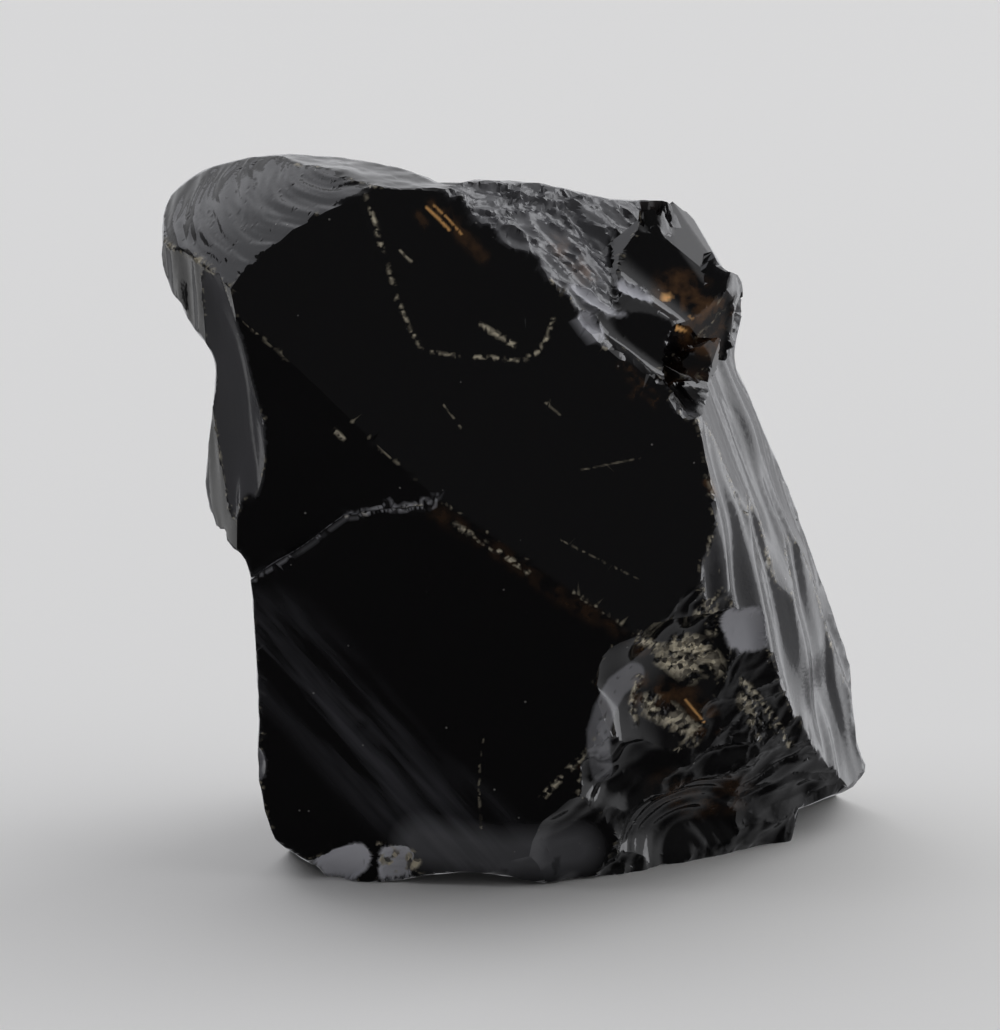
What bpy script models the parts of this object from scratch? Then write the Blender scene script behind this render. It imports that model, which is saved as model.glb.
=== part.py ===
"""Andara crystal: one lump of black volcanic glass, broken out of a rough blank by fracture faces.

Lengths in the tables are millimetres. +Z is up and the stone stands on its flat underside at z = 0.
Its two large black faces look towards -Y and +X is on the right hand side of them. Every face is
a thin-walled solid laid over the stone with its underside shaped like the fracture, and a Boolean
takes away whatever reaches into it.
"""

import bmesh
import bpy
import numpy as np
from mathutils import Matrix, Vector

MM = 0.001
BLANK_FRONT = -30.0  # how far the blank reaches before and behind the middle of the stone
BLANK_BACK = 48.0
CENTRING = (-0.55, -0.67, 0.0)  # brings the middle of the finished stone's box over the origin
REACH = 30.0  # how far a cutter stands out over the face that it leaves

# outline of the stone seen from in front and 16 degrees above level: (across, up) at its middle
VIEW_RISE = np.radians(16.0)
VIEW_CENTRE = np.array([-1.6, -10.0, 37.2])
VIEW_DISTANCE = 600.0
OUTLINE = [
    # crown, from the left corner to the shoulder
    (-33.8, 27.0), (-33.7, 30.0), (-33.0, 32.0), (-31.0, 33.7), (-28.5, 35.0), (-25.0, 35.8),
    (-21.0, 36.2), (-15.5, 35.8), (-12.0, 35.2), (-9.0, 34.5), (-6.0, 33.2), (-4.5, 33.0),
    (-2.5, 33.6), (4.0, 33.2), (7.5, 32.5), (11.0, 31.7), (15.5, 31.5), (18.0, 31.2), (19.3, 30.3),
    # shoulder block and right flank down to the sharp corner
    (20.5, 28.0), (21.5, 26.0), (22.5, 24.7), (23.8, 24.0), (24.4, 22.5), (24.1, 19.5),
    (23.4, 15.5), (24.5, 13.0), (27.0, 7.0), (28.5, 3.5), (31.5, -4.5), (33.0, -8.5),
    (35.0, -15.0), (35.2, -18.5), (35.8, -23.0), (36.6, -25.0),
    # under the corner and along the foot
    (36.0, -26.5), (34.5, -27.7), (31.0, -29.1), (29.5, -29.7), (29.7, -31.0), (29.0, -33.0),
    (28.0, -33.7), (24.0, -34.2), (20.0, -34.7), (16.0, -35.3), (14.0, -36.3), (12.8, -36.5),
    (10.0, -36.1), (4.5, -36.9), (1.0, -36.2), (-3.0, -35.8), (-6.0, -36.0), (-10.0, -36.5),
    (-15.5, -37.3), (-17.0, -36.7), (-18.2, -35.3), (-21.7, -33.3), (-23.0, -31.5),
    # left side up to the crown again
    (-24.2, -26.5), (-24.2, -20.5), (-24.7, -8.5), (-25.5, -4.5), (-26.8, -3.3), (-28.5, -1.0),
    (-29.4, 2.0), (-29.4, 4.5), (-28.8, 10.0), (-28.5, 14.5), (-29.0, 16.5), (-30.5, 18.5),
    (-32.0, 21.0), (-33.2, 23.0), (-33.8, 25.0),
]


# ---- reliefs: how far a fracture face stands over its own plane, u mm across and v mm up it ----


def drift(u, v, size, seed):
    """Smooth random field between -1 and 1 that changes over about `size` mm."""
    table = np.random.default_rng(seed).uniform(-1, 1, (61, 61))
    x = u / size + 30
    y = v / size + 30
    column = np.floor(x).astype(int)
    row = np.floor(y).astype(int)
    fx = x - column
    fy = y - row
    fx = fx * fx * (3 - 2 * fx)
    fy = fy * fy * (3 - 2 * fy)
    column = column % 60
    row = row % 60
    low = table[row, column] * (1 - fx) + table[row, column + 1] * fx
    high = table[row + 1, column] * (1 - fx) + table[row + 1, column + 1] * fx
    return low * (1 - fy) + high * fy


def uneven(size, height, seed):
    return lambda u, v: height * drift(u, v, size, seed)


def swell(radius, centre=(0, 0)):
    """The face bulges like a ball of that radius."""
    return lambda u, v: -((u - centre[0]) ** 2 + (v - centre[1]) ** 2) / (2 * radius)


def hollow(radius, centre=(0, 0)):
    """The face is dished like the inside of a ball of that radius."""
    return lambda u, v: ((u - centre[0]) ** 2 + (v - centre[1]) ** 2) / (2 * radius)


def ripples(centre, wavelength, height):
    """Rings that spread from the point where the blow fell."""
    return lambda u, v: height * np.sin(np.hypot(u - centre[0], v - centre[1]) / wavelength * 2 * np.pi)


def flutes(width, height, seed, slant=0.0):
    """Long ribs that run up the face, moving `slant` across for each unit up."""

    def relief(u, v):
        across = u - slant * v
        bent = across + 0.6 * width * drift(across, v, 5 * width, seed + 1)
        return height * drift(bent, v * 0.12, width, seed)

    return relief


def scallops(size, depth, seed, extent=(30, 30), stretch=1.0, slant=0.0):
    """Small shell-shaped scars side by side with sharp ridges between, drawn out `stretch` times."""

    def relief(u, v):
        rng = np.random.default_rng(seed)
        a = (u - slant * v) / size
        b = v / size / stretch
        a, b = a + 0.5 * drift(a, b, 0.8, seed + 1), b + 0.5 * drift(a, b, 0.8, seed + 2)
        surface = np.full(np.shape(u), 99.0)
        for i in range(-int(extent[0] / size), int(extent[0] / size) + 1):
            for j in range(-int(extent[1] / size / stretch), int(extent[1] / size / stretch) + 1):
                da = a - i - rng.uniform(-0.45, 0.45)
                db = b - j - rng.uniform(-0.45, 0.45)
                tilt = rng.normal(0, 0.5, 2)
                bend = rng.uniform(0.8, 3.0)
                scar_height = bend * (da**2 + db**2) + tilt[0] * da + tilt[1] * db
                surface = np.minimum(surface, depth * (scar_height + rng.uniform(-0.5, 0.5)))
        return surface

    return relief


def ledges(pitch, height, seed):
    """Steps one above another, each with a slightly sloping tread."""

    def relief(u, v):
        wavy = v / pitch + 0.5 * drift(u, v, 3 * pitch, seed)
        part = wavy - np.floor(wavy)
        return height * np.minimum(part, 3 * (1 - part))

    return relief


def dish(half_width, half_height, depth, power=2.0, seed=1):
    """One scar, `depth` deep in the middle, whose uneven rim runs about the two half sizes."""

    def relief(u, v):
        a = u / half_width
        b = v / half_height
        a, b = a + 0.3 * drift(a, b, 0.7, seed), b + 0.3 * drift(a, b, 0.7, seed + 50)
        return depth * (np.abs(a) ** power + np.abs(b) ** power - 1)

    return relief


def together(*reliefs):
    return lambda u, v: sum(relief(u, v) for relief in reliefs)


# ---- solids ----


def add_object(name, mesh):
    item = bpy.data.objects.new(name, mesh)
    bpy.context.scene.collection.objects.link(item)
    return item


def cutter(name, at, facing, half=(50, 50), relief=None, step=(3, 3), rising=(0, 0, 1), rim=None):
    """Solid over a fracture face: its underside is the face, centred at `at`, and it stands out.

    `rim` bends its lower border: it gives the height of that border, in v, for each u.
    """
    out = Vector(facing).normalized()
    up = Vector(rising)
    up = (up - up.dot(out) * out).normalized()
    across = up.cross(out)
    columns = int(np.ceil(2 * half[0] / step[0])) + 1
    rows = int(np.ceil(2 * half[1] / step[1])) + 1
    u, v = np.meshgrid(np.linspace(-half[0], half[0], columns), np.linspace(-half[1], half[1], rows))
    if rim:
        v = v + half[1] + rim(u)
    w = relief(u, v) if relief else np.zeros_like(u)
    places = np.stack([u, v, w], axis=-1).reshape(-1, 3)
    number = np.arange(rows * columns).reshape(rows, columns)
    border = np.concatenate([number[0, :-1], number[:-1, -1], number[-1, :0:-1], number[:0:-1, 0]])
    lid = places[border]
    lid[:, 2] = w.max() + REACH
    places = np.concatenate([places, lid]) @ np.array([across, up, out]) + np.array(at)
    near = number[:-1, :-1].ravel()
    faces = []
    for corner in near.tolist():
        quad = (corner, corner + columns, corner + columns + 1, corner + 1)
        faces.append(quad)
    ring = border.tolist()
    first_lid = rows * columns
    for i in range(len(ring)):
        j = (i + 1) % len(ring)
        faces.append((ring[i], ring[j], first_lid + j, first_lid + i))
    faces.append(tuple(range(first_lid, first_lid + len(ring))))
    mesh = bpy.data.meshes.new(name)
    mesh.from_pydata((places * MM).tolist(), [], faces)
    return add_object(name, mesh)


def scar(name, at, facing, size, depth, rising=(0, 0, 1), power=2.0, steps=7, seed=1):
    """One shell-shaped flake scar of two half sizes."""
    spread = (3.0 / depth + 1) ** (1 / power)
    half = (size[0] * min(spread, 2.5), size[1] * min(spread, 2.5))
    relief = dish(size[0], size[1], depth, power, seed)
    return cutter(name, at, facing, half, relief, (half[0] / steps, half[1] / steps), rising)


def hull(name, corners):
    """Convex lump through the corners."""
    mesh = bpy.data.meshes.new(name)
    shape = bmesh.new()
    for corner in corners:
        shape.verts.new(Vector(corner) * MM)
    bmesh.ops.convex_hull(shape, input=shape.verts)
    shape.to_mesh(mesh)
    shape.free()
    return add_object(name, mesh)


def blank(name):
    """Rough blank: the outline drawn out from front to back, widening as it goes away."""
    rise = np.array([0, np.sin(VIEW_RISE), np.cos(VIEW_RISE)])
    away = np.array([0, np.cos(VIEW_RISE), -np.sin(VIEW_RISE)])
    side = np.array([1, 0, 0])
    places = []
    for depth in (BLANK_FRONT, BLANK_BACK):
        grow = 1 + depth / VIEW_DISTANCE
        for x, y in OUTLINE:
            places.append((VIEW_CENTRE + depth * away + grow * (x * side + y * rise)) * MM)
    count = len(OUTLINE)
    faces = [tuple(range(count)), tuple(range(2 * count - 1, count - 1, -1))]
    for i in range(count):
        j = (i + 1) % count
        faces.append((i, count + i, count + j, j))
    mesh = bpy.data.meshes.new(name)
    mesh.from_pydata([tuple(place) for place in places], [], faces)
    return add_object(name, mesh)


def change(stone, helper, operation="DIFFERENCE"):
    step = stone.modifiers.new(helper.name, "BOOLEAN")
    step.operation = operation
    step.object = helper
    helper.hide_render = True
    helper.display_type = "WIRE"


# ---- the fracture faces ----


def shoulder_lip(u):
    """Height of the curved step between the left shoulder and the lower face."""
    across = [-12, -9.1, -4.9, -3.3, 1.4, 6.0, 10.6, 15.6, 40]
    height = [-17, -15.3, -13.5, -12, -8.8, -5.2, -4.2, -3.8, -3]
    return np.interp(u, across, height)


FRONT = [
    # the two large black faces, which meet in the long slanting ridge, and the left shoulder
    dict(
        name="upper_face",
        at=(-8.5, -17.0, 52.8),
        facing=(0.107, -0.968, 0.228),
        relief=uneven(16, 0.2, 11),
        step=(8, 8),
    ),
    dict(
        name="lower_face",
        at=(-6.9, -17.8, 22.7),
        facing=(-0.113, -0.989, -0.096),
        relief=uneven(16, 0.2, 12),
        step=(8, 8),
    ),
    dict(
        name="left_shoulder",
        at=(-22.9, -16.9, 44.7),
        facing=(-0.193, -0.976, -0.098),
        half=(40, 30),
        relief=uneven(9, 0.2, 13),
        step=(2, 3),
        rim=shoulder_lip,
    ),
    # crown
    dict(
        name="crown_bevel",
        at=(-26.7, -10.4, 68.6),
        facing=(-0.43, -0.478, 0.766),
        half=(15, 13),
        relief=together(swell(38), ripples((6.1, 9.7), 3.2, 0.08)),
        step=(1.6, 1.6),
    ),
    dict(
        name="crown_top",
        at=(-14.3, -9.2, 71.8),
        facing=(0.105, -0.02, 0.994),
        half=(30, 20),
        relief=uneven(3, 0.3, 15),
        step=(2.2, 2.2),
        rising=(0, 1, 0),
    ),
    dict(
        name="rough_slope",
        at=(4.8, -8.1, 63.9),
        facing=(0.536, -0.464, 0.705),
        half=(34, 34),
        relief=together(scallops(3.2, 0.7, 16, (30, 30), 2.0, -0.36), uneven(8, 0.3, 17)),
        step=(1.5, 1.9),
    ),
    dict(
        name="slope_foot",
        at=(12.6, -13.6, 56.2),
        facing=(0.42, -0.72, 0.55),
        half=(9, 7),
        relief=together(scallops(2.2, 0.5, 26, (10, 8), 2.2, -0.36), hollow(30)),
        step=(1.4, 1.8),
    ),
    # sides
    dict(
        name="flank_top",
        at=(22.0, -6.4, 43.8),
        facing=(0.911, -0.259, 0.319),
        half=(30, 48),
        relief=together(flutes(2.6, 0.5, 18, slant=-0.07), uneven(12, 0.2, 19)),
        step=(1.1, 3.4),
    ),
    dict(
        name="flank_low",
        at=(25.7, -7.3, 29.8),
        facing=(0.871, -0.464, 0.164),
        half=(30, 48),
        relief=together(flutes(3.4, 0.7, 28, slant=-0.12), uneven(12, 0.3, 29)),
        step=(1.1, 3.4),
    ),
    dict(
        name="left_wall",
        at=(-30.9, -12.6, 59.5),
        facing=(-0.822, -0.567, -0.054),
        half=(22, 30),
        relief=flutes(2.4, 0.3, 20),
        step=(1.2, 4),
    ),
    dict(
        name="lower_right",
        at=(16.9, -12.2, 11.7),
        facing=(0.475, -0.833, -0.283),
        half=(34, 30),
        relief=together(scallops(5.5, 0.6, 21, (30, 28), 0.7, 0.5), uneven(9, 0.3, 22)),
        step=(1.5, 1.5),
    ),
    dict(
        name="corner_ledges",
        at=(29.6, -3.6, 7.6),
        facing=(0.4, -0.85, -0.34),
        half=(9, 4),
        relief=together(ledges(1.8, 0.8, 23), hollow(24)),
        step=(1.5, 0.6),
    ),
]

SHOULDER_BLOCK = [
    (9.4, -3.5, 63.6), (12.5, -2.5, 66.0), (15.6, -4.0, 63.6), (20.6, -5.0, 59.6), (22.0, -4.5, 58.7),
    (18.4, -13.5, 50.9), (15.4, -13.5, 53.3), (9.5, -12.0, 57.6), (15.8, 4.0, 66.1), (17.8, 5.0, 64.4),
    (19.6, 3.0, 60.4), (22.4, 0.0, 57.6), (21.5, -3.0, 51.8), (18.5, 10.0, 54.4), (12.0, 8.0, 56.4),
]

SCARS = [
    dict(
        name="upper_scar",
        at=(-4.3, -13.9, 64.1),
        facing=(0.107, -0.968, 0.228),
        size=(9.5, 9.8),
        depth=0.7,
        rising=(-3.4, 2.0, 10.1),
        power=3.5,
    ),
    dict(
        name="left_teardrop",
        at=(-27.4, -15.0, 53.4),
        facing=(-0.75, -0.64, -0.12),
        size=(2.5, 9.5),
        depth=0.9,
        seed=3,
        rising=(-4.4, 0.5, 18.2),
    ),
    # the broken corner at the lower right
    dict(name="crescent", at=(15.2, -15.2, 18.2), facing=(0.4, -0.91, 0.02), size=(6.2, 6.8), depth=2.0, steps=9, seed=5),
    dict(name="dark_hollow", at=(14.0, -13.8, 12.6), facing=(0.1, -0.95, -0.3), size=(3.6, 3.0), depth=0.8, seed=6),
    dict(name="brown_arcs", at=(18.7, -9.4, 6.7), facing=(0.35, -0.8, -0.5), size=(5.4, 3.8), depth=1.0, seed=7),
    dict(name="foot_scoop", at=(7.0, -15.8, 5.6), facing=(0.15, -0.93, -0.35), size=(4.2, 4.6), depth=0.7, seed=8),
    dict(
        name="oval_facet",
        at=(22.4, -15.2, 25.6),
        facing=(0.72, -0.62, 0.3),
        size=(3.6, 3.0),
        depth=0.6,
        power=4,
    ),
    # chips out of the foot of the lower face
    dict(name="toe_chip_left", at=(-17.4, -14.4, 2.0), facing=(-0.5, -0.75, -0.3), size=(3.0, 2.6), depth=0.8, seed=9),
    dict(
        name="toe_chip_right",
        at=(-12.2, -15.1, 2.3),
        facing=(0.15, -0.85, -0.4),
        size=(2.4, 2.4),
        depth=0.6,
        power=3,
    ),
    dict(name="toe_band", at=(2.4, -16.6, 2.0), facing=(0.0, -0.88, -0.45), size=(6.5, 2.4), depth=0.5),
    dict(name="left_nick", at=(-25.9, -14.6, 11.9), facing=(-0.7, -0.7, 0.1), size=(1.2, 1.6), depth=0.5),
]

BACK = [
    dict(
        name="back_low",
        at=(5.0, 17.4, 24.0),
        facing=(0.08, 0.98, -0.03),
        relief=together(hollow(260, (4, 2)), scallops(15, 0.9, 30), ripples((12, 26), 8, 0.2)),
        step=(3.6, 3.6),
    ),
    dict(
        name="back_high",
        at=(-6.0, 13.2, 54.0),
        facing=(-0.12, 0.86, 0.5),
        relief=together(hollow(110, (-3, 4)), ripples((-12, 20), 6, 0.2)),
        step=(3.4, 3.4),
    ),
    dict(
        name="back_left",
        at=(-33.0, -2.0, 52.0),
        facing=(-0.76, 0.62, -0.2),
        relief=together(hollow(220, (8, 6)), scallops(12, 0.8, 31, stretch=1.6)),
        step=(3.3, 3.3),
    ),
    dict(
        name="foot_left",
        at=(-26.6, -11.0, 6.0),
        facing=(-0.9, 0.43, -0.05),
        half=(50, 30.5),
        relief=together(uneven(6, 0.4, 32), scallops(11, 0.6, 33)),
        step=(3, 3),
    ),
    dict(
        name="back_top",
        at=(-12.0, 3.5, 71.0),
        facing=(-0.1, 0.62, 0.78),
        relief=together(hollow(70), scallops(9, 0.6, 34)),
        step=(2.4, 2.4),
    ),
    dict(
        name="back_right",
        at=(32.5, 7.0, 22.0),
        facing=(0.76, 0.64, 0.12),
        relief=together(flutes(5, 0.7, 35), hollow(110)),
        step=(2.2, 3.6),
    ),
    dict(
        name="back_shoulder",
        at=(18.5, 9.5, 58.9),
        facing=(0.6, 0.6, 0.53),
        relief=scallops(8, 0.7, 36),
        step=(2.2, 2.2),
    ),
    dict(
        name="back_under",
        at=(2.0, 16.0, 5.0),
        facing=(-0.12, 0.74, -0.66),
        half=(42, 24),
        relief=scallops(9, 0.6, 37),
        step=(3, 3),
    ),
]
SLIVER = 0.000001  # closer together than this, corners are one corner
CHIPS = dict(count=38, width=(1.4, 3.0), seed=41)  # bitten out of the sharp edges
SHARP = 0.5  # angle between two faces, in radians, from which their edge counts as sharp


def bake(stone, triangles=False):
    """Turn the cuts into mesh, close up slivers and drop any crumb that came loose."""
    graph = bpy.context.evaluated_depsgraph_get()
    mesh = bpy.data.meshes.new_from_object(stone.evaluated_get(graph))
    shape = bmesh.new()
    shape.from_mesh(mesh)
    bmesh.ops.dissolve_degenerate(shape, dist=SLIVER, edges=shape.edges)
    bmesh.ops.remove_doubles(shape, verts=shape.verts, dist=SLIVER)
    wires = [edge for edge in shape.edges if edge.is_wire]
    bmesh.ops.delete(shape, geom=wires, context="EDGES")
    left = set(shape.verts)
    pieces = []
    while left:
        piece = []
        front = [left.pop()]
        while front:
            vertex = front.pop()
            piece.append(vertex)
            for edge in vertex.link_edges:
                other = edge.other_vert(vertex)
                if other in left:
                    left.remove(other)
                    front.append(other)
        pieces.append(piece)
    pieces.sort(key=len)
    for crumb in pieces[:-1]:
        bmesh.ops.delete(shape, geom=crumb, context="VERTS")
    if triangles:
        bmesh.ops.triangulate(shape, faces=shape.faces)
    shape.to_mesh(mesh)
    shape.free()
    stone.modifiers.clear()
    stone.data = mesh


def edge_chips(stone, count, width, seed):
    """Round bites that sit along the sharp edges of the stone, clear of one another."""
    rng = np.random.default_rng(seed)
    shape = bmesh.new()
    shape.from_mesh(stone.data)
    sharp = [e for e in shape.edges if e.calc_face_angle_signed(0) > SHARP]
    weight = np.array([edge.calc_length() for edge in sharp])
    bites = bmesh.new()
    placed = []
    for index in rng.choice(len(sharp), 20 * count, p=weight / weight.sum()):
        if len(placed) == count:
            break
        edge = sharp[index]
        wide = rng.uniform(*width) * MM
        deep = wide * rng.uniform(0.16, 0.28)
        radius = (wide**2 / 4 + deep**2) / (2 * deep)
        out = (edge.link_faces[0].normal + edge.link_faces[1].normal).normalized()
        spot = edge.verts[0].co.lerp(edge.verts[1].co, rng.uniform(0, 1))
        centre = spot + (radius - deep) * out
        if spot.z < 2.5 * MM or any((centre - other).length < 1.1 * (radius + far) for other, far in placed):
            continue
        placed.append((centre, radius))
        made = bmesh.ops.create_icosphere(bites, subdivisions=1, radius=radius)
        bmesh.ops.translate(bites, verts=made["verts"], vec=centre)
    shape.free()
    mesh = bpy.data.meshes.new("edge_chips")
    bites.to_mesh(mesh)
    bites.free()
    return add_object("edge_chips", mesh)


def volcanic_glass():
    material = bpy.data.materials.new("black volcanic glass")
    material.use_nodes = True
    shader = material.node_tree.nodes["Principled BSDF"]
    shader.inputs["Base Color"].default_value = (0.012, 0.011, 0.012, 1.0)
    shader.inputs["Roughness"].default_value = 0.08
    shader.inputs["IOR"].default_value = 1.5
    return material


def main():
    for leftover in list(bpy.data.objects):
        bpy.data.objects.remove(leftover)
    stone = blank("andara_crystal")
    for face in FRONT:
        change(stone, cutter(**face))
    change(stone, hull("shoulder_block", SHOULDER_BLOCK), "UNION")
    for mark in SCARS:
        change(stone, scar(**mark))
    for face in BACK:
        change(stone, cutter(**face))
    change(stone, cutter("underside", (0, 0, 0), (0, 0, -1), step=(100, 100), rising=(0, 1, 0)))
    bake(stone)
    change(stone, edge_chips(stone, **CHIPS))
    bake(stone, triangles=True)
    stone.data.transform(Matrix.Translation(Vector(CENTRING) * MM))
    for helper in list(bpy.data.objects):
        if helper != stone:
            bpy.data.objects.remove(helper)
    stone.data.materials.append(volcanic_glass())


main()
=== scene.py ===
import bmesh
import bpy
import numpy as np
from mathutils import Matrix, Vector
from mathutils.bvhtree import BVHTree
from mathutils.kdtree import KDTree


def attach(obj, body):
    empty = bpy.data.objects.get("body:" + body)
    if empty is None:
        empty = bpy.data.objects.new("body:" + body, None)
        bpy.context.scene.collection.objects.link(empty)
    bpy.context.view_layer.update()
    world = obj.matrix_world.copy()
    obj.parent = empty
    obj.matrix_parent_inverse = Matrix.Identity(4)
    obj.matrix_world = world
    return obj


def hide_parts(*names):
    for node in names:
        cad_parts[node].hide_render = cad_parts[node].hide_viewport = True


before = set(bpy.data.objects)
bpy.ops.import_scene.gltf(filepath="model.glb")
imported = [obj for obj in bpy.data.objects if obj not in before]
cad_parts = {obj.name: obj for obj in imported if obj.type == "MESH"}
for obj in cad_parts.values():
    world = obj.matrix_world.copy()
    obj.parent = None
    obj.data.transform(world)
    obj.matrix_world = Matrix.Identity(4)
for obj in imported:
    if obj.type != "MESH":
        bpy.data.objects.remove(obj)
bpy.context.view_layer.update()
print("frame loaded")

mm = 0.001


def linearColour(code):
    # sRGB hex to linear
    parts = [int(code[i:i + 2], 16) / 255 for i in (0, 2, 4)]
    return tuple(c / 12.92 if c <= 0.04045 else ((c + 0.055) / 1.055) ** 2.4 for c in parts) + (1.0,)


# reliefs give the height over a face, u mm across it and v mm up it
def drift(u, v, size, seed):
    # smooth random field between -1 and 1
    table = np.random.default_rng(seed).uniform(-1, 1, (61, 61))
    x, y = u / size + 30, v / size + 30
    column, row = np.floor(x).astype(int), np.floor(y).astype(int)
    fx, fy = x - column, y - row
    fx, fy = fx * fx * (3 - 2 * fx), fy * fy * (3 - 2 * fy)
    column, row = column % 60, row % 60
    low = table[row, column] * (1 - fx) + table[row, column + 1] * fx
    high = table[row + 1, column] * (1 - fx) + table[row + 1, column + 1] * fx
    return low * (1 - fy) + high * fy


def uneven(size, height, seed):
    return lambda u, v: height * drift(u, v, size, seed)


def swell(radius, centre=(0, 0)):
    return lambda u, v: -((u - centre[0]) ** 2 + (v - centre[1]) ** 2) / (2 * radius)


def hollow(radius, centre=(0, 0)):
    return lambda u, v: ((u - centre[0]) ** 2 + (v - centre[1]) ** 2) / (2 * radius)


def ripples(centre, wavelength, height, seed=1, wander=0.0):
    # rings round the place where the blow fell
    def relief(u, v):
        far = np.hypot(u - centre[0], v - centre[1]) + wander * drift(u, v, 3.0, seed)
        return height * np.sin(far / wavelength * 2 * np.pi)
    return relief


def flutes(width, height, seed, slant=0.0, run=0.12):
    # long ribs up the face
    def relief(u, v):
        across = u - slant * v
        bent = across + 0.6 * width * drift(across, v, 5 * width, seed + 1)
        return height * drift(bent, v * run, width, seed)
    return relief


def scallops(size, depth, seed, extent=(30, 30), stretch=1.0, slant=0.0, turn=0.0):
    # small shell shaped scars side by side, sharp ridges between
    rng = np.random.default_rng(seed)
    wide, tall = int(extent[0] / size), int(extent[1] / size / stretch)
    cells = np.zeros((2 * wide + 1, 2 * tall + 1, 6))
    for i in range(2 * wide + 1):
        for j in range(2 * tall + 1):
            cells[i, j] = [rng.uniform(-0.45, 0.45), rng.uniform(-0.45, 0.45), *rng.normal(0, 0.5, 2),
                           rng.uniform(0.8, 3.0), rng.uniform(-0.5, 0.5)]
    cosine, sine = np.cos(np.radians(turn)), np.sin(np.radians(turn))

    def relief(u, v):
        u, v = cosine * u + sine * v, cosine * v - sine * u
        a, b = (u - slant * v) / size, v / size / stretch
        a, b = a + 0.5 * drift(a, b, 0.8, seed + 1), b + 0.5 * drift(a, b, 0.8, seed + 2)
        nearA, nearB = np.rint(a).astype(int), np.rint(b).astype(int)
        surface = np.full(np.shape(u), 3.0)
        for i in (-2, -1, 0, 1, 2):
            for j in (-2, -1, 0, 1, 2):
                p, q = nearA + i, nearB + j
                known = (abs(p) <= wide) & (abs(q) <= tall)
                cell = cells[np.where(known, p + wide, 0), np.where(known, q + tall, 0)]
                da, db = a - p - cell[..., 0], b - q - cell[..., 1]
                height = cell[..., 4] * (da**2 + db**2) + cell[..., 2] * da + cell[..., 3] * db + cell[..., 5]
                surface = np.where(known, np.minimum(surface, height), surface)
        return depth * surface
    return relief


def ledges(pitch, height, seed, wander=0.5):
    def relief(u, v):
        wavy = v / pitch + wander * drift(u, v, 3 * pitch, seed)
        part = wavy - np.floor(wavy)
        return height * np.minimum(part, 3 * (1 - part))
    return relief


def dish(halfWidth, halfHeight, depth, power=2.0, seed=1, wander=0.3):
    def relief(u, v):
        a, b = u / halfWidth, v / halfHeight
        a, b = a + wander * drift(a, b, 0.7, seed), b + wander * drift(a, b, 0.7, seed + 50)
        return depth * (np.abs(a) ** power + np.abs(b) ** power - 1)
    return relief


def together(*reliefs):
    return lambda u, v: sum(relief(u, v) for relief in reliefs)


def addObject(name, mesh):
    item = bpy.data.objects.new(name, mesh)
    bpy.context.scene.collection.objects.link(item)
    return item


class Fracture:
    # a broken face: stone lies behind it, within its borders
    def __init__(self, name, at, facing, half=(50, 50), relief=None, rising=(0, 0, 1), rim=None,
                 grain=0.9, finish=0.0, greyHighlight=0.0):
        out = Vector(facing).normalized()
        up = Vector(rising)
        up = (up - up.dot(out) * out).normalized()
        self.name, self.at, self.half, self.relief, self.rim = name, np.array(at), half, relief, rim
        self.across, self.up, self.out = np.array(up.cross(out)), np.array(up), np.array(out)
        # the last of these is how much pale grey highlight is painted on the face
        self.grain, self.finish, self.greyHighlight = grain, finish, greyHighlight

    def above(self, points):
        # how far points stand over the face, within its borders; below zero is stone
        q = points - self.at
        u, v = q @ self.across, q @ self.up
        w = q @ self.out - (self.relief(u, v) if self.relief else 0)
        w = np.minimum(w, np.minimum(self.half[0] - abs(u), self.half[1] - abs(v)))
        return np.minimum(w, v - self.rim(u)) if self.rim else w


def scar(name, at, facing, size, depth, rising=(0, 0, 1), power=2.0, seed=1, wander=0.3, extra=None,
         grain=0.5, finish=0.0, greyHighlight=0.0, reach=3.0):
    # one shell shaped flake scar
    spread = (reach / depth + 1) ** (1 / power)
    half = (size[0] * min(spread, 2.5), size[1] * min(spread, 2.5))
    relief = dish(size[0], size[1], depth, power, seed, wander)
    relief = together(relief, extra) if extra else relief
    return Fracture(name, at, facing, half, relief, rising, None, grain, finish, greyHighlight)


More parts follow.
